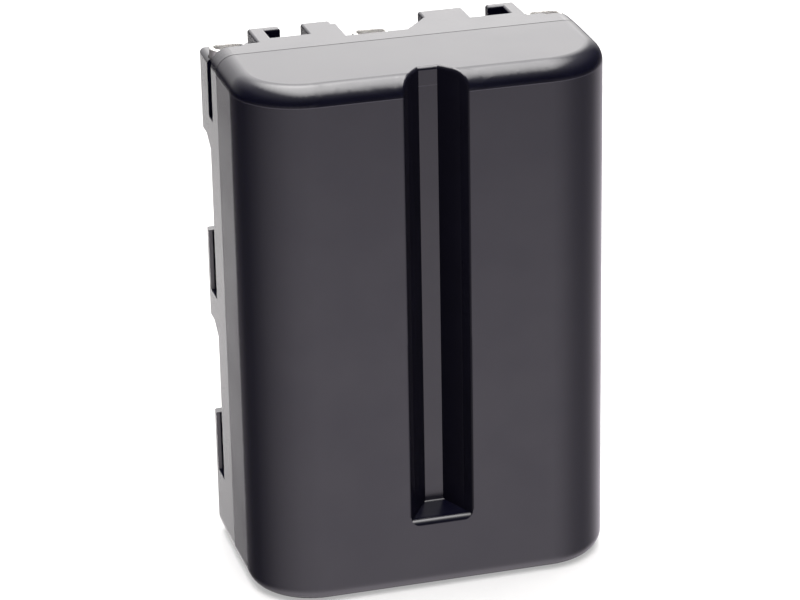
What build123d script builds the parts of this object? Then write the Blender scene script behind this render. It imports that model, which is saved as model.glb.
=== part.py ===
from build123d import *
import os

# Rechargeable camera battery: two moulded shells round two cells, with a protection board
# over the cells and three spring contacts at the top end.
# X runs across the front face, Y from the front face to the rear face and Z up.
# The origin lies under the middle of the bottom end. Lengths are in millimetres.

# Overall size
width = 38.2
depth = 20.5
height = 55.6

# Shells
front_depth = 12.35
side_wall = 0.8
face_wall = 0.9
rear_wall = 1.2
top_wall = 1.2
cap_thickness = 3.0
bottom_wall = 1.0
draft_angle = 0.6
corner_radius = 7.0
top_edge_radius = 1.9
bottom_edge_radius = 1.8
rear_edge_radius = 0.4

# Seam: a tongue on the rear shell stands in a rebate of the front shell
seam_gap = 0.12
lip_thickness = 0.4
tongue_height = 1.0
fit_clearance = 0.03

# Guide groove in the front face
groove_half_width = 3.3
groove_shoulder_half_width = 2.62
groove_floor_half_width = 0.95
groove_shoulder_depth = 1.0
groove_depth = 3.0
groove_end_height = 7.9
groove_end_rise = 0.65
groove_wall = 0.8
groove_edge_radius = 0.35
groove_lip_radius = 0.65
groove_corner_radius = 1.1
groove_foot_radius = 0.3

# Locking hooks along both sides of the rear shell, from the top end down
hook_count = 2
hook_level = 3.95
hook_plate = 1.1
hook_reach = 2.0
upper_tooth_height = 9.95
hook_gap = 11.05
hook_plate_height = 6.55
hook_web = 3.0
hook_ramp_drop = 1.2
hook_ramp_depth = 1.8
upper_slot_front = 2.55
upper_slot_width = 1.9
upper_slot_reach = 0.6
upper_slot_drop = 1.4
upper_slot_length = 6.3
heel_rise = 1.4
heel_depth = 5.5

# Tabs and notches at the top end, each chain measured inwards from its side
corner_recess_depth = 1.6
corner_shoulder_radius = 0.7
tab_edge_radius = 0.25
notch_depth = 2.0
recess_level = 5.45
corner_step_level = 4.75
corner_step_width = 1.9
guide_level = 3.75
recess_wall = 0.8
left_hook_inset = 5.1
left_hook_width = 3.2
left_hook_wall = 1.6
left_notch_width = 2.35
left_tab_width = 3.48
left_tab_step_width = 0.48
left_tab_step_depth = 1.2
right_hook_inset = 4.9
right_hook_width = 3.0
right_hook_wall = 1.4
right_notch_width = 2.6
right_tab_width = 4.65
right_tab_slope_width = 2.65
right_tab_slope_depth = 3.2

# Contacts
contact_length = 3.9
contact_width = 2.9
contact_sheet = 0.35
contact_rim = 0.5
contact_rim_radius = 0.22
contact_head = 1.25
contact_proud = 0.95
contact_leg_width = 1.2
contact_setback = 3.2
contact_side_inset = 2.4
middle_contact_offset = 3.12
contact_clearance = 0.1

# Cells, which take their diameter and length from the room inside the shells
button_diameter = 6.8
button_height = 0.6
can_edge = 0.4
crimp_depth = 0.5
crimp_drop = 2.2
crimp_width = 1.2
sleeve_wall = 0.1
cell_gap = 0.06
cell_clearance = 0.1
cell_side_clearance = 0.07
washer_thickness = 0.25
washer_margin = 0.5

# Strips and sheets
strip_thickness = 0.2
series_strip_width = 7.0
series_strip_overlap = 3.5
tab_width = 4.0
tab_start = 2.5
tab_fold = 1.5
lead_width = 2.5
lead_inset = 2.75
bottom_sheet_thickness = 0.25
bottom_sheet_margin = 4.5
board_sheet_thickness = 0.35
valley_half_width = 4.0
valley_inset = 1.55

# Board
board_thickness = 0.8
board_side_clearance = 0.4
board_rear_clearance = 0.3
board_front_inset = 4.65
board_corner = 2.0
board_room = 0.8
board_hall_wall = 1.2
rear_hall_wall = 1.35

# Parts on the board, measured from its front edge and sides and from the rear of the front hall
chip_row_inset = 3.2
protection_chip_inset = 5.0
gauge_chip_x = -5.0
transistor_x = 0.8
sense_resistor_inset = 3.2
fuse_spacing = 4.1
capacitor_x = -5.0
capacitor_setback = 0.6
resistor_inset = 2.5
resistor_setback = 3.9
chip_height = 1.1
lead_pitch = 0.65
lead_foot = 0.9
lead_breadth = 0.3
lead_foil = 0.15
protection_chip_size = (3.0, 4.4)
protection_chip_pins = 4
gauge_chip_size = (6.5, 4.4)
gauge_chip_pins = 8
transistor_size = (3.0, 4.4)
transistor_pins = 4
transistor_count = 2
transistor_spacing = 4.4
sense_resistor_size = (5.0, 2.5, 0.6)
fuse_size = (2.6, 4.6, 1.6)
capacitor_size = (1.6, 0.8, 0.8)
capacitor_count = 4
resistor_size = (1.6, 0.8, 0.45)
resistor_count = 6
chip_part_spacing = 2.4
thermistor_diameter = 1.6
thermistor_length = 3.0
thermistor_drop = 4.5
thermistor_wire = 0.3
thermistor_wire_spacing = 0.7

# Places that follow from the sizes above
front_y = -depth / 2
rear_y = depth / 2
seam_y = front_y + front_depth
side_x = width / 2
hook_y = rear_y - hook_level
plate_y = rear_y - hook_plate
recess_y = rear_y - recess_level
notch_floor = height - notch_depth
groove_split = height / 2
corner_floor = height - corner_recess_depth
left_hook_left = -side_x + left_hook_inset
left_pocket_left = left_hook_left + left_hook_wall
left_hook_right = left_hook_left + left_hook_width
left_tab_left = left_hook_right + left_notch_width
left_tab_right = left_tab_left + left_tab_width
right_hook_right = side_x - right_hook_inset
right_pocket_right = right_hook_right - right_hook_wall
right_hook_left = right_hook_right - right_hook_width
right_tab_right = right_hook_left - right_notch_width
right_tab_left = right_tab_right - right_tab_width
room_across = (width - 2 * side_wall - 2 * cell_side_clearance - cell_gap) / 4
room_deep = (depth - face_wall - rear_wall) / 2 - cell_clearance
sleeve_radius = min(room_across, room_deep)
cell_diameter = 2 * (sleeve_radius - sleeve_wall)
pocket_radius = sleeve_radius + cell_clearance
cell_x = sleeve_radius + cell_gap / 2
cell_y = front_y + face_wall + cell_clearance + sleeve_radius
lead_rear = cell_y + sleeve_radius - lead_inset
valley_rear = cell_y + sleeve_radius - valley_inset
strip_floor = bottom_wall + bottom_sheet_thickness
cell_floor = strip_floor + strip_thickness
hall_ceiling = height - cap_thickness
board_top = hall_ceiling - board_room
board_floor = board_top - board_thickness
board_sheet_floor = board_floor - board_sheet_thickness
cell_top = board_sheet_floor - strip_thickness
cell_length = cell_top - cell_floor
hall_side = side_x - board_hall_wall
hall_rear = rear_y - rear_hall_wall
front_hall_rear = recess_y - recess_wall
board_front = front_y + board_front_inset
board_rear = hall_rear - board_rear_clearance
board_side = hall_side - board_side_clearance
chip_row_y = front_hall_rear - chip_row_inset
sense_resistor_x = board_side - sense_resistor_inset
contact_y = rear_y - contact_setback
contact_top = corner_floor + contact_proud
contact_floor = contact_top - contact_head
contact_x = side_x - contact_side_inset
middle_contact_x = left_tab_right + middle_contact_offset
past = 5.0

# Planes across the battery at the seam, looking to the front and to the rear
front_plane = Plane(origin=(0, seam_y, 0), x_dir=(1, 0, 0), z_dir=(0, -1, 0))
rear_plane = Plane(origin=(0, seam_y + seam_gap, 0), x_dir=(-1, 0, 0), z_dir=(0, 1, 0))


def box(x0, x1, y0, y1, z0, z1):
    """Box between two corners."""
    block = Box(x1 - x0, y1 - y0, z1 - z0, align=(Align.MIN, Align.MIN, Align.MIN))
    return Pos(x0, y0, z0) * block


def plan_prism(points, z0, z1):
    """Upright prism over an outline in X and Y."""
    outline = make_face(Polyline(*points, close=True))
    return extrude(Pos(0, 0, z0) * outline, z1 - z0)


def side_prism(points, x0, x1):
    """Prism along X over an outline in Y and Z."""
    outline = make_face(Polyline(*[(0, y, z) for y, z in points], close=True))
    return extrude(Pos(x0, 0, 0) * outline, x1 - x0, dir=(1, 0, 0))


def section(inset_side, inset_top, inset_bottom):
    """Upright rectangle of the battery's section, inset from its outside."""
    tall = height - inset_top - inset_bottom
    middle = inset_bottom + tall / 2
    return Pos(0, middle) * Rectangle(width - 2 * inset_side, tall)


def both_sides(solid):
    """A solid and its mirror image across the middle plane."""
    return solid + mirror(solid, about=Plane.YZ)


def edges_along_y(solid):
    """Edges that run from the seam to the front or the rear, upper ones last."""
    edges = [e for e in solid.edges() if abs((e % 0.5).Y) > 0.9]
    return sorted(edges, key=lambda e: e.center().Z)


def rim_edges(face):
    """Edges of an end face, without the one on the seam."""
    return [e for e in face.edges() if abs(e.center().Y - seam_y) > seam_gap]


def drafted_block(plane, length):
    """Block on one side of the seam, drafted at its sides and top and flat at its bottom end."""
    block = extrude(plane * section(0, 0, -past), length, taper=draft_angle)
    return block & box(-width, width, -depth, depth, 0, height)


def front_block():
    """Outside of the front shell, with its rounded corners and edges."""
    block = drafted_block(front_plane, front_depth)
    upright = block.edges().filter_by(Axis.Z).group_by(Axis.Y)[0]
    block = fillet(upright, corner_radius)
    block = fillet(rim_edges(block.faces().sort_by(Axis.Z)[-1]), top_edge_radius)
    return fillet(rim_edges(block.faces().sort_by(Axis.Z)[0]), bottom_edge_radius)


def front_cavity():
    """Room inside the front shell, without the back of the groove."""
    inside = section(side_wall, top_wall, bottom_wall)
    room = extrude(front_plane * inside, front_depth - face_wall)
    upright = room.edges().filter_by(Axis.Z).group_by(Axis.Y)[0]
    return fillet(upright, corner_radius - side_wall)


def groove_side(spread):
    """Shoulder and floor points on the right of the groove in plan, grown outwards by a wall."""
    shoulder = (groove_shoulder_half_width + spread, front_y + groove_shoulder_depth + spread)
    floor = (groove_floor_half_width + spread, front_y + groove_depth + spread)
    return shoulder, floor


def cell_pockets():
    """Round rooms for the two cells."""
    pocket = Cylinder(pocket_radius, cell_top - bottom_wall, align=(Align.CENTER, Align.CENTER, Align.MIN))
    return both_sides(Pos(cell_x, cell_y, bottom_wall) * pocket)


def groove_back():
    """Block behind the groove that keeps a wall between it and the inside."""
    shoulder, floor = groove_side(groove_wall)
    edge = groove_half_width + groove_wall
    half = [(edge, front_y), shoulder, floor]
    other = [(-x, y) for x, y in reversed(half)]
    low = groove_end_height - groove_lip_radius - groove_wall
    return plan_prism(half + other, low, height)


def groove_outline():
    """Plan of the groove, with sharp edges at the front face."""
    shoulder, floor = groove_side(0)
    half = [(groove_half_width, front_y - past), (groove_half_width, front_y), shoulder, floor]
    other = [(-x, y) for x, y in reversed(half)]
    return make_face(Polyline(*half, *other, close=True))


def rounded_groove_outline():
    """Plan of the groove, with its two long edges rounded."""
    reach = groove_half_width + 2 * groove_edge_radius
    outline = groove_outline() + Pos(0, front_y) * Rectangle(2 * reach, past, align=(Align.CENTER, Align.MAX))
    edges = [v for v in outline.vertices() if abs(v.Y - front_y) < fit_clearance]
    edges = sorted(edges, key=lambda v: abs(v.X))[:2]
    return fillet(edges, groove_edge_radius)


def groove_sill():
    """Sloping lower end of the groove, with a rounded lip at the front face."""
    radius = groove_lip_radius
    lip_y = front_y + radius
    lip_z = groove_end_height - radius
    bend = radius * 0.5 ** 0.5
    rear = front_y + groove_depth
    start = (0, front_y, lip_z)
    stop = (0, lip_y, groove_end_height)
    lip = ThreePointArc(start, (0, lip_y - bend, lip_z + bend), stop)
    rise = (0, rear, groove_end_height + groove_end_rise)
    below = Polyline(stop, rise, (0, rear, -past), (0, front_y - past, -past), (0, front_y - past, lip_z), start)
    reach = groove_half_width + past
    return extrude(Pos(-reach, 0, 0) * make_face([lip, below]), 2 * reach, dir=(1, 0, 0))


def groove_lower_cut():
    """Lower half of the groove, closed by the sill and rounded where its floor meets it."""
    low = groove_end_height - groove_lip_radius
    tall = groove_split + past - low
    cut = extrude(Pos(0, 0, low) * rounded_groove_outline(), tall)
    front = Plane(origin=(0, rear_y, low), x_dir=(1, 0, 0), z_dir=(0, -1, 0))
    window = Rectangle(2 * groove_half_width, tall, align=(Align.CENTER, Align.MIN))
    window = fillet(window.vertices().group_by(Axis.Y)[0], groove_corner_radius)
    mouth = Rectangle(4 * groove_half_width, tall, align=(Align.CENTER, Align.MIN))
    window += Pos(0, groove_corner_radius) * mouth
    cut = (cut & extrude(front * window, depth + past)) - groove_sill()
    foot = cut.faces().sort_by(Axis.Y)[-1].edges().sort_by(Axis.Z)[0]
    return fillet(foot, groove_foot_radius)


def is_in_groove(face):
    """Whether a face of the block lies in the upper half of the groove."""
    middle = face.center()
    across = abs(middle.X) < groove_half_width
    deep = front_y + fit_clearance < middle.Y < front_y + groove_depth + fit_clearance
    return across and deep and groove_split - fit_clearance < middle.Z < height - top_edge_radius


def grooved_block():
    """Outside of the front shell with its groove, which is rounded all along its rim."""
    block = front_block() - extrude(Pos(0, 0, groove_split) * groove_outline(), height)
    edges = [e for face in block.faces() if is_in_groove(face) for e in face.edges()]
    rim = [e for e in edges if sum(e.is_same(other) for other in edges) == 1]
    return fillet(rim, groove_edge_radius) - groove_lower_cut()


def rounded_section(inset):
    """Upright section of the battery, inset all round and rounded along its long edges."""
    outline = section(inset, inset, inset)
    outline = fillet(outline.vertices().group_by(Axis.Y)[0], bottom_edge_radius - inset)
    return fillet(outline.vertices().group_by(Axis.Y)[-1], top_edge_radius - inset)


def tongue_ring(outer_inset, inner_inset, length):
    """Ring inside the outline at the seam, reaching into the front shell."""
    ring = rounded_section(outer_inset) - rounded_section(inner_inset)
    return extrude(front_plane * ring, length)


def make_front_case():
    """Deep front shell with the guide groove."""
    groove_wall_block = groove_back() - cell_pockets()
    shell = grooved_block() - (front_cavity() - groove_wall_block)
    rebate = tongue_ring(lip_thickness, side_wall + fit_clearance, tongue_height + fit_clearance)
    return shell - rebate


def rear_block():
    """Outside of the rear shell, before the hooks and notches are cut."""
    block = drafted_block(rear_plane, rear_y - seam_y - seam_gap)
    block = fillet(edges_along_y(block)[2:], top_edge_radius)
    low = [e for e in edges_along_y(block) if e.center().Z < height / 2]
    block = fillet(low, bottom_edge_radius)
    return fillet(block.faces().sort_by(Axis.Y)[-1].edges(), rear_edge_radius)


def rear_cavity():
    """Pockets for the cells, the valley between them and the hall for the board."""
    room = cell_pockets()
    room += box(-valley_half_width, valley_half_width, front_y, valley_rear, bottom_wall, cell_top)
    room += box(-hall_side, hall_side, front_y, hall_rear, cell_top, hall_ceiling)
    room += box(-hall_side, hall_side, front_y, front_hall_rear, cell_top, height - top_wall)
    return room & box(-side_x, side_x, seam_y, rear_y, 0, height)


def hook_cuts():
    """Gaps between the side hooks, with the slots behind their plates."""
    ramp_y = hook_y + hook_ramp_depth
    slot_y = seam_y + upper_slot_front
    slot_x = side_x - upper_slot_reach
    slot_top = height - upper_slot_drop
    cuts = box(slot_x, side_x + past, slot_y, slot_y + upper_slot_width, slot_top - upper_slot_length, slot_top)
    under = height - upper_tooth_height
    for _ in range(hook_count):
        plate_top = under - hook_gap
        slot_floor = plate_top - hook_plate_height
        gap = [
            (hook_y, under - hook_ramp_drop),
            (ramp_y, under),
            (rear_y + past, under),
            (rear_y + past, plate_top),
            (plate_y, plate_top),
            (plate_y, slot_floor),
            (hook_y, slot_floor),
        ]
        cuts += side_prism(gap, side_x - hook_reach, side_x + past)
        under = slot_floor - hook_web
    heel = [(rear_y - heel_depth, -past), (rear_y - heel_depth, 0), (rear_y, heel_rise), (rear_y + past, heel_rise)]
    heel += [(rear_y + past, -past)]
    cuts += side_prism(heel, side_x - hook_reach, side_x + past)
    return both_sides(cuts)


def corner_recess(hook_edge, side):
    """Step down at a top corner, where an outer contact stands."""
    step_y = rear_y - corner_step_level
    step_x = hook_edge + side * corner_step_width
    outside = side * (side_x + past)
    points = [
        (outside, recess_y),
        (step_x, recess_y),
        (step_x, step_y),
        (hook_edge, step_y),
        (hook_edge, rear_y + past),
        (outside, rear_y + past),
    ]
    return plan_prism(points, corner_floor, height + past)


def corner_shoulders():
    """Rounding along the outer edges of the steps at the two top corners."""
    radius = corner_shoulder_radius
    axis_x = side_x - radius
    axis_z = corner_floor - radius
    length = rear_y + past - recess_y
    strip = box(axis_x, side_x + past, recess_y, recess_y + length, axis_z, corner_floor + past)
    round_bar = Cylinder(radius, length, rotation=(90, 0, 0))
    return both_sides(strip - Pos(axis_x, recess_y + length / 2, axis_z) * round_bar)


def top_cuts():
    """Recesses, pockets and guide notches at the top end."""
    high = height + past
    back = rear_y + past
    guide_y = rear_y - guide_level
    step_y = rear_y - left_tab_step_depth
    cuts = corner_recess(left_hook_left, -1) + corner_recess(right_hook_right, 1)
    cuts += box(left_pocket_left, left_hook_right, guide_y, plate_y, notch_floor, high)
    cuts += box(left_hook_right, left_tab_left, guide_y, back, notch_floor, high)
    centre = [
        (left_tab_right, recess_y),
        (right_tab_left - right_tab_slope_width, recess_y),
        (right_tab_left, recess_y + right_tab_slope_depth),
        (right_tab_left, back),
        (left_tab_right - left_tab_step_width, back),
        (left_tab_right - left_tab_step_width, step_y),
        (left_tab_right, step_y),
    ]
    cuts += plan_prism(centre, notch_floor, high)
    cuts += box(right_tab_right, right_hook_left, guide_y, back, notch_floor, high)
    cuts += box(right_hook_left, right_pocket_right, guide_y, plate_y, notch_floor, high)
    return cuts


def contact_places():
    """Middle of each contact across the width, by name."""
    return {"left": -contact_x, "middle": middle_contact_x, "right": contact_x}


def contact_ring(grow):
    """Outline of a contact in plan, grown by a clearance."""
    return SlotOverall(contact_length + 2 * grow, contact_width + 2 * grow)


def contact_leg(grow):
    """Leg from a contact's front wall down to the board, grown by a clearance."""
    half = contact_leg_width / 2 + grow
    front = -contact_width / 2 - grow
    rear = -contact_width / 2 + contact_sheet + grow
    return box(-half, half, front, rear, board_top, contact_floor + contact_sheet)


def contact_seats():
    """Seats for the contacts and holes for their legs."""
    seats = None
    for x in contact_places().values():
        seat = extrude(Pos(0, 0, contact_floor) * contact_ring(contact_clearance), past)
        seat = Pos(x, contact_y, 0) * (seat + contact_leg(contact_clearance))
        seats = seat if seats is None else seats + seat
    return seats


def tab_rims(shell):
    """Edges of the top face at the tabs and notches, short of its rounded sides."""
    top = shell.faces().sort_by(Axis.Z)[-1]
    walls = [f for f in shell.faces().filter_by(GeomType.PLANE) if abs(f.normal_at().Z) < 0.1]
    walls = [f for f in walls if f.center().Y > seam_y + seam_gap + tab_edge_radius]
    wall_edges = [e for f in walls for e in f.edges()]
    reach = side_x - top_edge_radius - tab_edge_radius
    edges = [e for e in top.edges() if max(abs(v.X) for v in e.vertices()) < reach]
    return [e for e in edges if any(e.is_same(other) for other in wall_edges)]


def make_rear_case():
    """Rear shell with side hooks, top tabs, contact seats and the tongue at the seam."""
    shell = rear_block() - rear_cavity() - hook_cuts() - top_cuts() - corner_shoulders() - contact_seats()
    shell = fillet(tab_rims(shell), tab_edge_radius)
    tongue = tongue_ring(lip_thickness + fit_clearance, side_wall, tongue_height)
    root = tongue_ring(lip_thickness + fit_clearance, side_wall, -seam_gap)
    return shell + tongue + root


def make_contact(x):
    """Spring contact: a flattened ring of sheet metal with a rolled rim, on a leg."""
    ring = contact_ring(0) - contact_ring(-contact_rim)
    head = extrude(Pos(0, 0, contact_floor) * ring, contact_head)
    head = fillet(head.faces().sort_by(Axis.Z)[-1].edges(), contact_rim_radius)
    return Pos(x, contact_y, 0) * (head + contact_leg(0))


def make_cell(x, upside_down):
    """Sealed cylindrical cell with a crimped can and a button at its positive end."""
    radius = cell_diameter / 2
    can = cell_length - button_height
    crimp = can - crimp_drop
    button = button_diameter / 2
    half = [
        (0, 0),
        (radius - can_edge, 0),
        (radius, can_edge),
        (radius, crimp - crimp_width),
        (radius - crimp_depth, crimp - crimp_width / 2),
        (radius, crimp),
        (radius, can - can_edge),
        (radius - can_edge, can),
        (button, can),
        (button, cell_length),
        (0, cell_length),
    ]
    profile = make_face(Polyline(*[(r, 0, z) for r, z in half], close=True))
    return stand_cell(revolve(profile, Axis.Z), x, upside_down)


def stand_cell(solid, x, upside_down):
    """Put a piece of a cell in its place, turned over where asked."""
    if upside_down:
        solid = Pos(0, 0, cell_length) * Rot(180, 0, 0) * solid
    return Pos(x, cell_y, cell_floor) * solid


def tube(outer, inner, z0, z1):
    """Upright tube or washer."""
    ring = Circle(outer) - Circle(inner)
    return extrude(Pos(0, 0, z0) * ring, z1 - z0)


def make_sleeve(x, upside_down):
    """Shrunk sleeve round a cell."""
    can = cell_length - button_height
    return stand_cell(tube(sleeve_radius, cell_diameter / 2, 0, can), x, upside_down)


def make_washer(x, upside_down):
    """Insulating washer round the button of a cell."""
    can = cell_length - button_height
    outer = cell_diameter / 2 - washer_margin
    inner = button_diameter / 2 + washer_margin
    return stand_cell(tube(outer, inner, can, can + washer_thickness), x, upside_down)


def make_series_strip():
    """Strip that joins the two cells at the bottom."""
    reach = cell_x + series_strip_overlap
    half = series_strip_width / 2
    return box(-reach, reach, cell_y - half, cell_y + half, strip_floor, cell_floor)


def make_tab(x):
    """Strip from a cell's top end round the front edge of the board."""
    left = x - tab_width / 2
    right = x + tab_width / 2
    outer_y = board_front - 2 * strip_thickness
    inner_y = board_front - strip_thickness
    fold_z = board_top + strip_thickness
    tab = box(left, right, outer_y, cell_y + tab_start, cell_top, board_sheet_floor)
    tab += box(left, right, outer_y, inner_y, cell_top, fold_z)
    return tab + box(left, right, outer_y, board_front + tab_fold, board_top, fold_z)


def make_midpoint_lead():
    """Strip from the series strip up the rear valley to the underside of the board."""
    half = lead_width / 2
    start = cell_y + series_strip_width / 2
    lead = box(-half, half, start, lead_rear, strip_floor, cell_floor)
    return lead + box(-half, half, lead_rear - strip_thickness, lead_rear, strip_floor, board_floor)


def make_bottom_sheet():
    """Insulating sheet between the series strip and the bottom wall."""
    reach_x = cell_x + sleeve_radius - bottom_sheet_margin
    reach_y = sleeve_radius - bottom_sheet_margin / 2
    return box(-reach_x, reach_x, cell_y - reach_y, cell_y + reach_y, bottom_wall, strip_floor)


def make_board_sheet():
    """Insulating sheet between the cells' strips and the board."""
    rear = lead_rear - 2 * strip_thickness
    return box(-board_side, board_side, board_front, rear, board_sheet_floor, board_floor)


def make_circuit_board():
    """Protection board with its front corners cut to the round of the shell."""
    cut = board_side - board_corner
    points = [
        (-cut, board_front),
        (cut, board_front),
        (board_side, board_front + board_corner),
        (board_side, board_rear),
        (-board_side, board_rear),
        (-board_side, board_front + board_corner),
    ]
    return plan_prism(points, board_floor, board_top)


def make_chip(x, y, size, pins):
    """Moulded chip with a row of leads at its front and rear."""
    half_x = size[0] / 2
    half_y = size[1] / 2
    chip = box(-half_x, half_x, -half_y, half_y, lead_foil, chip_height)
    for number in range(pins):
        lead_x = (number - (pins - 1) / 2) * lead_pitch
        left = lead_x - lead_breadth / 2
        chip += box(left, left + lead_breadth, -half_y - lead_foot, half_y + lead_foot, 0, lead_foil)
    return Pos(x, y, board_top) * chip


def make_block(x, y, size):
    """Plain board part."""
    return box(x - size[0] / 2, x + size[0] / 2, y - size[1] / 2, y + size[1] / 2, board_top, board_top + size[2])


def make_transistors():
    """Pair of power transistors, as separate solids."""
    places = [transistor_x + number * transistor_spacing for number in range(transistor_count)]
    return [make_chip(x, chip_row_y, transistor_size, transistor_pins) for x in places]


def make_row(x, y, size, count):
    """Row of equal board parts, as separate solids."""
    return [make_block(x + number * chip_part_spacing, y, size) for number in range(count)]


def make_thermistor():
    """Bead between the two cells, on two wires from the board."""
    bead_radius = thermistor_diameter / 2
    reach = sleeve_radius + cell_gap + bead_radius
    y = cell_y + (reach ** 2 - cell_x ** 2) ** 0.5
    top = board_floor - thermistor_drop
    upright = (Align.CENTER, Align.CENTER, Align.MAX)
    bead = Pos(0, y, top) * Cylinder(bead_radius, thermistor_length, align=upright)
    for side in (-1, 1):
        wire = Cylinder(thermistor_wire / 2, board_sheet_floor - top, align=(Align.CENTER, Align.CENTER, Align.MIN))
        bead += Pos(side * thermistor_wire_spacing / 2, y, top) * wire
    return bead


def all_parts():
    """Every node of the battery, by name."""
    parts = {"front_case": make_front_case(), "rear_case": make_rear_case()}
    for place, x in contact_places().items():
        parts["contact_" + place] = make_contact(x)
    for place, x, upside_down in (("left", -cell_x, False), ("right", cell_x, True)):
        parts["cell_" + place] = make_cell(x, upside_down)
        parts["sleeve_" + place] = make_sleeve(x, upside_down)
        parts["washer_" + place] = make_washer(x, upside_down)
    parts["series_strip"] = make_series_strip()
    parts["positive_tab"] = make_tab(-cell_x)
    parts["negative_tab"] = make_tab(cell_x)
    parts["midpoint_lead"] = make_midpoint_lead()
    parts["bottom_sheet"] = make_bottom_sheet()
    parts["board_sheet"] = make_board_sheet()
    parts["circuit_board"] = make_circuit_board()
    protection_chip_x = -board_side + protection_chip_inset
    parts["protection_chip"] = make_chip(protection_chip_x, chip_row_y, protection_chip_size, protection_chip_pins)
    parts["gauge_chip"] = make_chip(gauge_chip_x, chip_row_y, gauge_chip_size, gauge_chip_pins)
    parts["power_transistors"] = make_transistors()
    parts["sense_resistor"] = make_block(sense_resistor_x, chip_row_y, sense_resistor_size)
    parts["board_fuse"] = make_block(sense_resistor_x - fuse_spacing, chip_row_y, fuse_size)
    capacitor_y = board_front + capacitor_setback
    parts["capacitors"] = make_row(capacitor_x, capacitor_y, capacitor_size, capacitor_count)
    resistor_x = -board_side + resistor_inset
    resistor_y = chip_row_y + resistor_setback
    parts["resistors"] = make_row(resistor_x, resistor_y, resistor_size, resistor_count)
    parts["thermistor"] = make_thermistor()
    return parts


def main():
    """Write each node to its own file."""
    os.makedirs("parts", exist_ok=True)
    for name, shape in all_parts().items():
        if isinstance(shape, list):
            shape = Compound(children=shape)
        export_step(shape, "parts/" + name + ".step")


main()
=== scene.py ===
from math import cos, pi, radians, sin

import bpy
from mathutils import Matrix, Vector


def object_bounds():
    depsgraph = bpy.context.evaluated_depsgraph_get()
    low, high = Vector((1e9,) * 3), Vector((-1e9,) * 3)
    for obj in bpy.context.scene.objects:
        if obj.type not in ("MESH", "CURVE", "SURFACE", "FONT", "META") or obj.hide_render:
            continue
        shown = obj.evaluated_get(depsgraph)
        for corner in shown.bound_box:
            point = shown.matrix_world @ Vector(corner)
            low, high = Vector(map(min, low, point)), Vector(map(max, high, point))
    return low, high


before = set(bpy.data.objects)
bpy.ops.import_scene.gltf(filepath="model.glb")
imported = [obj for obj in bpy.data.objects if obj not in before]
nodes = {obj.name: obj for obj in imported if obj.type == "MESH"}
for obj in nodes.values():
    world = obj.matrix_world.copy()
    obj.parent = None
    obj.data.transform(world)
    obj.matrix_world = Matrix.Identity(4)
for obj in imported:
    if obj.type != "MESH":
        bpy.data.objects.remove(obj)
cad_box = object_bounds()
scene = bpy.context.scene
scene.view_settings.view_transform = "Standard"
scene.view_settings.look = "None"

# Camera, at the angle of the photograph, with lengths in metres
CAMERA_AZIMUTH = radians(-15.429)
CAMERA_ELEVATION = radians(22.472)
CAMERA_ROLL = radians(-1.078)
CAMERA_DISTANCE = 0.34719
CAMERA_TARGET = Vector((-0.000995, 0.0, 0.028245))
CAMERA_LENS = 152.23
CAMERA_SENSOR = 36.0
CAMERA_SHIFT = (-0.00299, -0.00184)
CAMERA_NEAR = 0.01

# Black plastic of both shells
PLASTIC_DARK = (0.0009, 0.0009, 0.0062)
PLASTIC_LIGHT = (0.0014, 0.0014, 0.0078)
PLASTIC_ROUGH = (0.18, 0.23)
PLASTIC_GRAIN = 9000.0
PLASTIC_GRAIN_DEPTH = 0.000003
PLASTIC_SHINE = 0.5

# Fine parting line on the front shell, lightened as a painted highlight of its small ridge
LINE_HEIGHT = 0.05355
LINE_HALF_WIDTH = 0.00003
LINE_HIGHLIGHT_TONE = (0.02, 0.019, 0.022)

# Painted shade on the groove walls of the front shell, known by their place and by how far they face
# sideways
GROOVE_HALF_WIDTH = 0.0034
GROOVE_FADE = 0.000102
GROOVE_FACING = (0.25, 0.45)
GROOVE_SHADE_TONE = (0.003, 0.0027, 0.0005)
GROOVE_SHADE_SHINE = 0.12

# Painted light on the inner end of the rear shell's lower side slots, known by its place and by facing
# forward
SLOT_PLACE = 0.0186
SLOT_FADE = 0.0001
SLOT_TOP = 0.042
SLOT_FACING = (-0.9, -0.7)
SLOT_LIGHT_TONE = (0.17, 0.16, 0.17)

# Pale floor
FLOOR_REACH = 3.0
FLOOR_DARK = (0.36, 0.36, 0.362)
FLOOR_LIGHT = (0.372, 0.372, 0.374)
FLOOR_ROUGH = 0.9
FLOOR_SHINE = 0.1
FLOOR_GLOW = 0.4

# Shade on the floor under the battery
SHADE_REACH = 0.04
SHADE_LIFT = 0.00005
SHADE_CORNER = 0.007
SHADE_FADE = 0.0012
SHADE_GLOW = 0.05

# Pale wall that the camera sees, and scale of all the tones below
WALL_COLOUR = (0.95, 0.95, 0.96, 1.0)
TONE_SCALE = 10.0
# Tones of the studio round the battery, by turn from the front to the right, in degrees
ROUND_TONES = (
    (-180, 0.2),
    (-150, 0.16),
    (-135, 0.1),
    (-115, 0.15),
    (-95, 0.4),
    (-75, 0.8),
    (-55, 1.15),
    (-30, 1.5),
    (0, 1.68),
    (18, 1.68),
    (35, 1.3),
    (55, 0.8),
    (75, 0.52),
    (95, 0.52),
    (105, 0.7),
    (118, 0.92),
    (165, 1.1),
    (172, 0.2),
)
# Share of those tones by slope below the horizon, in degrees
LOW_SHARES = (
    (-90, 0.2),
    (-65, 0.55),
    (-45, 0.95),
    (-28.5, 0.98),
    (-26.5, 1.04),
    (-24.5, 1.2),
    (-22, 1.05),
    (-18.5, 0.77),
    (-13, 0.22),
    (-3, 0.08),
    (0, 0.0),
)
# Tones above the horizon by slope, in degrees
HIGH_TONES = ((-3, 0.0), (0, 0.05), (6, 0.07), (16, 0.1), (26, 0.2), (35, 0.38), (45, 0.6), (90, 0.6))
# Tones of the bright floor close to the battery, by slope below the horizon, in degrees
FLOOR_TONES = ((-90, 1.7), (-70, 1.5), (-58, 0.8), (-46, 0.15), (-36, 0.0))
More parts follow.
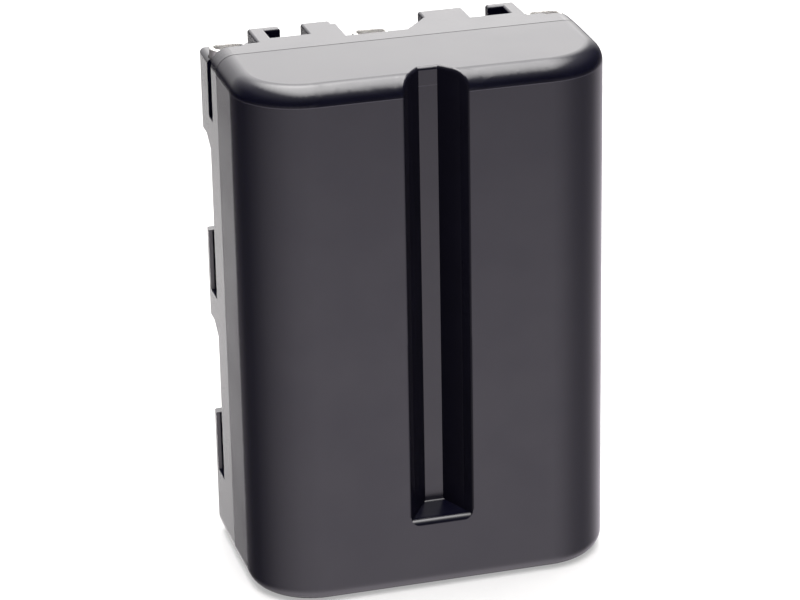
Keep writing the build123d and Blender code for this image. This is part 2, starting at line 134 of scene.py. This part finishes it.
# Tones of the strip of light behind the left side by turn, and its share by slope, in degrees
SIDE_TONES = ((-180, 0.9), (-176.5, 3.1), (-173.4, 5.6), (-170.4, 0.0), (168, 0.0), (174, 0.7), (180, 0.9))
SIDE_SHARES = (
    (-90, 0.3),
    (-40, 0.3),
    (-30, 0.42),
    (-26.5, 0.72),
    (-23.5, 1.08),
    (-20.5, 1.1),
    (-18.5, 0.88),
    (-13, 0.35),
    (0, 0.0),
)
# Tones of the wall light behind the battery by turn, and its share by slope, in degrees
BACK_TONES = (
    (-180, 2.2),
    (-170, 1.6),
    (-160, 1.0),
    (-148, 0.55),
    (-138, 0.3),
    (-115, 0.0),
    (135, 0.0),
    (145, 0.5),
    (152, 1.6),
    (157, 2.6),
    (161, 2.88),
    (168, 2.76),
    (180, 2.2),
)
BACK_SHARES = (
    (-9, 0.0),
    (-4, 0.3),
    (2, 0.75),
    (9, 0.97),
    (14, 1.05),
    (18, 1.0),
    (32, 0.97),
    (45, 1.2),
    (60, 1.2),
    (75, 0.0),
)
# Overhead light: its middle and half lengths as slopes from upright, and tones by distance from its middle
OVERHEAD_MIDDLE = (0.06, 0.1)
OVERHEAD_HALF = (0.62, 1.0)
OVERHEAD_TONES = (
    (0.0, 9.6),
    (0.3, 9.4),
    (0.46, 8.0),
    (0.62, 6.0),
    (0.82, 3.9),
    (0.98, 1.3),
    (1.1, 0.3),
    (1.25, 0.0),
)
# Least rise of a direction, for the slopes of the overhead light
LEAST_RISE = 0.001
# Tints of the light from the floor and of the other light
LOW_TINT = (1.02, 0.945, 1.04)
HIGH_TINT = (1.015, 0.995, 0.985)

# Range of a noise texture that is spread over a whole range of tones or numbers
NOISE_START = 0.3
NOISE_STOP = 0.7


def make_camera():
    """Camera that looks at its target from an azimuth and an elevation, with a small roll."""
    flat = cos(CAMERA_ELEVATION)
    back = Vector((sin(CAMERA_AZIMUTH) * flat, -cos(CAMERA_AZIMUTH) * flat, sin(CAMERA_ELEVATION)))
    right = Vector((0, 0, 1)).cross(back).normalized()
    up = back.cross(right)
    side = cos(CAMERA_ROLL) * right + sin(CAMERA_ROLL) * up
    top = cos(CAMERA_ROLL) * up - sin(CAMERA_ROLL) * right
    data = bpy.data.cameras.new("camera")
    data.sensor_width = CAMERA_SENSOR
    data.lens = CAMERA_LENS
    data.shift_x, data.shift_y = CAMERA_SHIFT
    data.clip_start = CAMERA_NEAR
    camera = bpy.data.objects.new("camera", data)
    place = CAMERA_TARGET + back * CAMERA_DISTANCE
    turn = Matrix((side, top, back)).transposed().to_4x4()
    camera.matrix_world = Matrix.Translation(place) @ turn
    scene.collection.objects.link(camera)
    scene.camera = camera


def new_material(name):
    """Node material with its tree and its shader."""
    material = bpy.data.materials.new(name)
    material.use_nodes = True
    return material, material.node_tree, material.node_tree.nodes["Principled BSDF"]


def object_coordinates(tree):
    """Place on the piece, in metres."""
    return tree.nodes.new("ShaderNodeTexCoord").outputs["Object"]


def split(tree, vector):
    """Parts of a vector by axis."""
    node = tree.nodes.new("ShaderNodeSeparateXYZ")
    tree.links.new(vector, node.inputs["Vector"])
    return node.outputs


def noise(tree, where, scale, detail, roughness=0.5):
    """Noise texture over the piece."""
    node = tree.nodes.new("ShaderNodeTexNoise")
    node.inputs["Scale"].default_value = scale
    node.inputs["Detail"].default_value = detail
    node.inputs["Roughness"].default_value = roughness
    tree.links.new(where, node.inputs["Vector"])
    return node.outputs["Fac"]


def spread(tree, value, low, high, start=NOISE_START, stop=NOISE_STOP):
    """Number that goes from low to high while a value goes from start to stop."""
    node = tree.nodes.new("ShaderNodeMapRange")
    node.inputs["From Min"].default_value = start
    node.inputs["From Max"].default_value = stop
    node.inputs["To Min"].default_value = low
    node.inputs["To Max"].default_value = high
    tree.links.new(value, node.inputs["Value"])
    return node.outputs["Result"]


def tint(tree, value, low, high):
    """Colours between two tones from a noise texture."""
    node = tree.nodes.new("ShaderNodeValToRGB")
    node.color_ramp.elements[0].position = NOISE_START
    node.color_ramp.elements[0].color = (*low, 1.0)
    node.color_ramp.elements[1].position = NOISE_STOP
    node.color_ramp.elements[1].color = (*high, 1.0)
    tree.links.new(value, node.inputs["Fac"])
    return node.outputs["Color"]


def ramp(tree, value, stops):
    """Grey tones along a value, from places and tones."""
    node = tree.nodes.new("ShaderNodeValToRGB")
    points = node.color_ramp.elements
    while len(points) < len(stops):
        points.new(0.5)
    for point, (place, tone) in zip(points, stops):
        point.position = place
        point.color = (tone, tone, tone, 1.0)
    tree.links.new(value, node.inputs["Fac"])
    return node.outputs["Color"]


def bump(tree, value, strength, distance):
    """Relief from a texture."""
    node = tree.nodes.new("ShaderNodeBump")
    node.inputs["Strength"].default_value = strength
    node.inputs["Distance"].default_value = distance
    tree.links.new(value, node.inputs["Height"])
    return node.outputs["Normal"]


def stretched(tree, where, scale):
    """Coordinates stretched along some axes."""
    node = tree.nodes.new("ShaderNodeMapping")
    node.inputs["Scale"].default_value = scale
    tree.links.new(where, node.inputs["Vector"])
    return node.outputs["Vector"]


def calculate(tree, operation, first, second=0.0):
    """Result of an operation on one or two values."""
    node = tree.nodes.new("ShaderNodeMath")
    node.operation = operation
    for socket, value in zip(node.inputs, (first, second)):
        if isinstance(value, float):
            socket.default_value = value
        else:
            tree.links.new(value, socket)
    return node.outputs["Value"]


def blend(tree, value, colour, base=None):
    """Colour in proportion to a value, on top of a base colour."""
    node = tree.nodes.new("ShaderNodeVectorMath")
    node.operation = "MULTIPLY_ADD"
    tree.links.new(value, node.inputs[0])
    node.inputs[1].default_value = colour
    if base is not None:
        tree.links.new(base, node.inputs[2])
    return node.outputs["Vector"]


def moulded_plastic(name, dark, light, rough, grain, grain_depth):
    """Moulded plastic with a fine satin grain and faint unevenness."""
    material, tree, shader = new_material(name)
    where = object_coordinates(tree)
    cloud = noise(tree, where, scale=180.0, detail=3.0)
    fine = noise(tree, where, scale=grain, detail=2.0, roughness=0.6)
    tree.links.new(tint(tree, cloud, dark, light), shader.inputs["Base Color"])
    tree.links.new(spread(tree, cloud, *rough), shader.inputs["Roughness"])
    tree.links.new(bump(tree, fine, strength=0.35, distance=grain_depth), shader.inputs["Normal"])
    shader.inputs["IOR"].default_value = 1.53
    return material


def worked_metal(name, dark, light, rough, brush):
    """Rolled or plated metal with fine brushing."""
    material, tree, shader = new_material(name)
    where = object_coordinates(tree)
    streaks = noise(tree, stretched(tree, where, brush), scale=1.0, detail=3.0)
    cloud = noise(tree, where, scale=420.0, detail=3.0)
    tree.links.new(tint(tree, cloud, dark, light), shader.inputs["Base Color"])
    tree.links.new(spread(tree, streaks, *rough), shader.inputs["Roughness"])
    tree.links.new(bump(tree, streaks, strength=0.2, distance=0.00001), shader.inputs["Normal"])
    shader.inputs["Metallic"].default_value = 1.0
    return material


def soft_sheet(name, dark, light, rough, grain, grain_depth):
    """Film, paper, laminate or small part with a fibre grain."""
    material, tree, shader = new_material(name)
    where = object_coordinates(tree)
    fibre = noise(tree, where, scale=grain, detail=4.0, roughness=0.65)
    tree.links.new(tint(tree, fibre, dark, light), shader.inputs["Base Color"])
    tree.links.new(spread(tree, fibre, *rough), shader.inputs["Roughness"])
    tree.links.new(bump(tree, fibre, strength=0.3, distance=grain_depth), shader.inputs["Normal"])
    return material


def shell_plastic(name):
    """Black plastic of a shell."""
    return moulded_plastic(
        name, PLASTIC_DARK, PLASTIC_LIGHT, PLASTIC_ROUGH, PLASTIC_GRAIN, PLASTIC_GRAIN_DEPTH
    )


def place_and_facing(tree):
    """Place on the piece and the way its surface faces, each by axis."""
    normal = tree.nodes.new("ShaderNodeNewGeometry").outputs["Normal"]
    return split(tree, object_coordinates(tree)), split(tree, normal)


def paint(tree, mask, tone):
    """Lighten the plastic by a painted tone of light or shade where a mask says so."""
    socket = tree.nodes["Principled BSDF"].inputs["Base Color"]
    tree.links.new(blend(tree, mask, tone, socket.links[0].from_socket), socket)


def mark_front(material):
    """Painted highlight along the fine parting line under the top rounding, and painted shade on the walls
    in the groove.
    """
    tree = material.node_tree
    place, facing = place_and_facing(tree)
    # Painted shade: the groove walls get less shine and a small added tone, so they read dark like a shaded
    # recess.
    across = calculate(tree, "ABSOLUTE", place["X"])
    within = spread(tree, across, 1.0, 0.0, GROOVE_HALF_WIDTH, GROOVE_HALF_WIDTH + GROOVE_FADE)
    sideways = spread(tree, calculate(tree, "ABSOLUTE", facing["X"]), 0.0, 1.0, *GROOVE_FACING)
    wall = calculate(tree, "MULTIPLY", within, sideways)
    shine = spread(tree, wall, PLASTIC_SHINE, GROOVE_SHADE_SHINE, 0.0, 1.0)
    tree.links.new(shine, tree.nodes["Principled BSDF"].inputs["Specular IOR Level"])
    paint(tree, wall, GROOVE_SHADE_TONE)
    # Painted highlight: a lighter tone along the real parting line stands in for the glint on its small
    # ridge.
    off_line = calculate(tree, "ABSOLUTE", calculate(tree, "SUBTRACT", place["Z"], LINE_HEIGHT))
    line_highlight = spread(tree, off_line, 1.0, 0.0, LINE_HALF_WIDTH, LINE_HALF_WIDTH * 2)
    paint(tree, calculate(tree, "MULTIPLY", line_highlight, calculate(tree, "SUBTRACT", 1.0, wall)), LINE_HIGHLIGHT_TONE)


def mark_rear(material):
    """Painted light: lighter tone on the inner end of the side slots."""
    tree = material.node_tree
    place, facing = place_and_facing(tree)
    across = calculate(tree, "ABSOLUTE", place["X"])
    side = spread(tree, across, 0.0, 1.0, SLOT_PLACE, SLOT_PLACE + SLOT_FADE)
    ahead = spread(tree, facing["Y"], 1.0, 0.0, *SLOT_FACING)
    below = spread(tree, place["Z"], 1.0, 0.0, SLOT_TOP, SLOT_TOP + SLOT_FADE)
    # Painted light: the forward-facing slot end is lightened as if lit from the front.
    mask = calculate(tree, "MULTIPLY", calculate(tree, "MULTIPLY", side, ahead), below)
    paint(tree, mask, SLOT_LIGHT_TONE)


def wear(material, *names):
    """Give a material to some nodes of the frame."""
    for name in names:
        mesh = nodes[name].data
        mesh.materials.clear()
        mesh.materials.append(material)


def dress_shells():
    """Materials of the two shells and the contacts."""
    front = shell_plastic("front_plastic")
    mark_front(front)
    wear(front, "front_case")
    rear = shell_plastic("rear_plastic")
    mark_rear(rear)
    wear(rear, "rear_case")
    contact = worked_metal(
        "contact_metal",
        dark=(0.9, 0.89, 0.87),
        light=(0.96, 0.95, 0.93),
        rough=(0.36, 0.5),
        brush=(9000.0, 9000.0, 900.0),
    )
    wear(contact, "contact_left", "contact_middle", "contact_right")


def dress_cells():
    """Materials of the cells, their strips and their insulation."""
    steel = worked_metal(
        "cell_steel",
        dark=(0.52, 0.53, 0.54),
        light=(0.66, 0.67, 0.68),
        rough=(0.2, 0.38),
        brush=(4000.0, 4000.0, 300.0),
    )
    wear(steel, "cell_left", "cell_right")
    nickel = worked_metal(
        "strip_nickel",
        dark=(0.58, 0.56, 0.52),
        light=(0.7, 0.68, 0.63),
        rough=(0.25, 0.42),
        brush=(400.0, 6000.0, 6000.0),
    )
    wear(nickel, "series_strip", "positive_tab", "negative_tab", "midpoint_lead")
    film = soft_sheet(
        "sleeve_film",
        dark=(0.03, 0.13, 0.2),
        light=(0.045, 0.17, 0.25),
        rough=(0.25, 0.36),
        grain=700.0,
        grain_depth=0.00001,
    )
    wear(film, "sleeve_left", "sleeve_right")
    paper = soft_sheet(
        "washer_paper",
        dark=(0.42, 0.4, 0.34),
        light=(0.56, 0.54, 0.47),
        rough=(0.7, 0.85),
        grain=2600.0,
        grain_depth=0.00002,
    )
    wear(paper, "washer_left", "washer_right", "bottom_sheet", "board_sheet")


def dress_board():
    """Materials of the protection board and the parts on it."""
    board = soft_sheet(
        "board_laminate",
        dark=(0.012, 0.07, 0.03),
        light=(0.02, 0.1, 0.045),
        rough=(0.3, 0.45),
        grain=1800.0,
        grain_depth=0.00001,
    )
    wear(board, "circuit_board")
    chip = moulded_plastic(
        "chip_moulding",
        dark=(0.012, 0.012, 0.013),
        light=(0.02, 0.02, 0.021),
        rough=(0.5, 0.65),
        grain=14000.0,
        grain_depth=0.00001,
    )
    wear(chip, "protection_chip", "gauge_chip", "power_transistors")
    ceramic = soft_sheet(
        "ceramic_part",
        dark=(0.36, 0.25, 0.15),
        light=(0.46, 0.33, 0.21),
        rough=(0.4, 0.55),
        grain=5200.0,
        grain_depth=0.000008,
    )
    wear(ceramic, "capacitors", "board_fuse")
    resistor = soft_sheet(
        "resistor_film",
        dark=(0.015, 0.016, 0.02),
        light=(0.03, 0.03, 0.036),
        rough=(0.3, 0.45),
        grain=5200.0,
        grain_depth=0.000006,
    )
    wear(resistor, "resistors", "sense_resistor")
    bead = soft_sheet(
        "bead_resin",
        dark=(0.05, 0.09, 0.03),
        light=(0.08, 0.13, 0.05),
        rough=(0.2, 0.35),
        grain=1500.0,
        grain_depth=0.00001,
    )
    wear(bead, "thermistor")


def flat_square(name, reach):
    """Square sheet about the origin."""
    mesh = bpy.data.meshes.new(name)
    corners = [(-reach, -reach, 0), (reach, -reach, 0), (reach, reach, 0), (-reach, reach, 0)]
    mesh.from_pydata(corners, [], [(0, 1, 2, 3)])
    return mesh


def make_floor():
    """Plain pale floor under the battery."""
    mesh = flat_square("floor", FLOOR_REACH)
    floor = bpy.data.objects.new("floor", mesh)
    floor.location.z = cad_box[0][2]
    material, tree, shader = new_material("floor_paper")
    fibre = noise(tree, object_coordinates(tree), scale=300.0, detail=3.0)
    tree.links.new(tint(tree, fibre, FLOOR_DARK, FLOOR_LIGHT), shader.inputs["Base Color"])
    shader.inputs["Roughness"].default_value = FLOOR_ROUGH
    shader.inputs["Specular IOR Level"].default_value = FLOOR_SHINE
    shader.inputs["Emission Color"].default_value = (1.0, 1.0, 1.0, 1.0)
    shader.inputs["Emission Strength"].default_value = FLOOR_GLOW
    mesh.materials.append(material)
    floor.visible_glossy = False
    scene.collection.objects.link(floor)


def outside(tree, value, half):
    """How far a coordinate lies outside a strip about zero."""
    beyond = calculate(tree, "SUBTRACT", calculate(tree, "ABSOLUTE", value), half)
    return calculate(tree, "MAXIMUM", beyond, 0.0)


def length(tree, first, second):
    """Length of the diagonal of two distances."""
    squares = [calculate(tree, "MULTIPLY", value, value) for value in (first, second)]
    return calculate(tree, "SQRT", calculate(tree, "ADD", *squares))


def make_contact_shade():
    """Dark patch where the battery meets the floor, seen only in its own reflections."""
    mesh = flat_square("contact_shade", SHADE_REACH)
    shade = bpy.data.objects.new("contact_shade", mesh)
    shade.location.z = cad_box[0][2] + SHADE_LIFT
    material = bpy.data.materials.new("contact_shade")
    material.use_nodes = True
    tree = material.node_tree
    tree.nodes.clear()
    place = split(tree, object_coordinates(tree))
    across = outside(tree, place["X"], cad_box[1][0] - SHADE_CORNER)
    along = outside(tree, place["Y"], cad_box[1][1] - SHADE_CORNER)
    clear = spread(tree, length(tree, across, along), 0.0, 1.0, SHADE_CORNER - SHADE_FADE, SHADE_CORNER)
    dark = tree.nodes.new("ShaderNodeEmission")
    dark.inputs["Strength"].default_value = SHADE_GLOW
    through = tree.nodes.new("ShaderNodeBsdfTransparent")
    mix = tree.nodes.new("ShaderNodeMixShader")
    tree.links.new(clear, mix.inputs["Fac"])
    tree.links.new(dark.outputs["Emission"], mix.inputs[1])
    tree.links.new(through.outputs["BSDF"], mix.inputs[2])
    surface = tree.nodes.new("ShaderNodeOutputMaterial")
    tree.links.new(mix.outputs["Shader"], surface.inputs["Surface"])
    mesh.materials.append(material)
    shade.visible_camera = False
    shade.visible_diffuse = False
    shade.visible_shadow = False
    scene.collection.objects.link(shade)


def share_of_range(tree, value, half):
    """Place from 0 to 1 of a value in the range from minus half to half."""
    return calculate(tree, "ADD", calculate(tree, "MULTIPLY", value, 0.5 / half), 0.5)


def turn_ramp(tree, turn, tones):
    """Tones by turn round the battery."""
    return ramp(tree, turn, [((degree + 180) / 360, tone / TONE_SCALE) for degree, tone in tones])


def slope_ramp(tree, slope, tones):
    """Tones by slope above or below the horizon."""
    return ramp(tree, slope, [((sin(radians(degree)) + 1) / 2, tone / TONE_SCALE) for degree, tone in tones])


def patch(tree, turn, slope, tones, shares):
    """Tones by turn, each with its share by slope."""
    product = calculate(tree, "MULTIPLY", turn_ramp(tree, turn, tones), slope_ramp(tree, slope, shares))
    return calculate(tree, "MULTIPLY", product, TONE_SCALE)


def overhead(tree, way):
    """Soft oval light above the battery, brightest at its middle."""
    rise = calculate(tree, "MAXIMUM", way["Z"], LEAST_RISE)
    shares = []
    for axis, middle, half in zip("XY", OVERHEAD_MIDDLE, OVERHEAD_HALF):
        offset = calculate(tree, "SUBTRACT", calculate(tree, "DIVIDE", way[axis], rise), middle)
        shares.append(calculate(tree, "DIVIDE", offset, half))
    reach = OVERHEAD_TONES[-1][0]
    stops = [(place / reach, tone / TONE_SCALE) for place, tone in OVERHEAD_TONES]
    return ramp(tree, calculate(tree, "DIVIDE", length(tree, *shares), reach), stops)


def make_world():
    """Studio with soft tones all round in its light, seen as a pale wall."""
    world = bpy.data.worlds.new("studio")
    world.use_nodes = True
    tree = world.node_tree
    way = split(tree, tree.nodes.new("ShaderNodeTexCoord").outputs["Generated"])
    turn = calculate(tree, "ARCTAN2", way["X"], calculate(tree, "MULTIPLY", way["Y"], -1.0))
    turn = share_of_range(tree, turn, pi)
    slope = share_of_range(tree, way["Z"], 1.0)
    low = patch(tree, turn, slope, ROUND_TONES, LOW_SHARES)
    low = calculate(tree, "ADD", low, slope_ramp(tree, slope, FLOOR_TONES))
    high = calculate(tree, "ADD", slope_ramp(tree, slope, HIGH_TONES), overhead(tree, way))
    high = calculate(tree, "ADD", high, patch(tree, turn, slope, BACK_TONES, BACK_SHARES))
    high = calculate(tree, "ADD", high, patch(tree, turn, slope, SIDE_TONES, SIDE_SHARES))
    both = blend(tree, high, HIGH_TINT, blend(tree, low, LOW_TINT))
    wall = tree.nodes["Background"]
    wall.inputs["Color"].default_value = WALL_COLOUR
    soft = tree.nodes.new("ShaderNodeBackground")
    soft.inputs["Strength"].default_value = TONE_SCALE
    tree.links.new(both, soft.inputs["Color"])
    path = tree.nodes.new("ShaderNodeLightPath")
    mix = tree.nodes.new("ShaderNodeMixShader")
    tree.links.new(path.outputs["Is Camera Ray"], mix.inputs["Fac"])
    tree.links.new(soft.outputs["Background"], mix.inputs[1])
    tree.links.new(wall.outputs["Background"], mix.inputs[2])
    tree.links.new(mix.outputs["Shader"], tree.nodes["World Output"].inputs["Surface"])
    scene.world = world


make_camera()
dress_shells()
dress_cells()
dress_board()
make_floor()
make_contact_shade()
make_world()
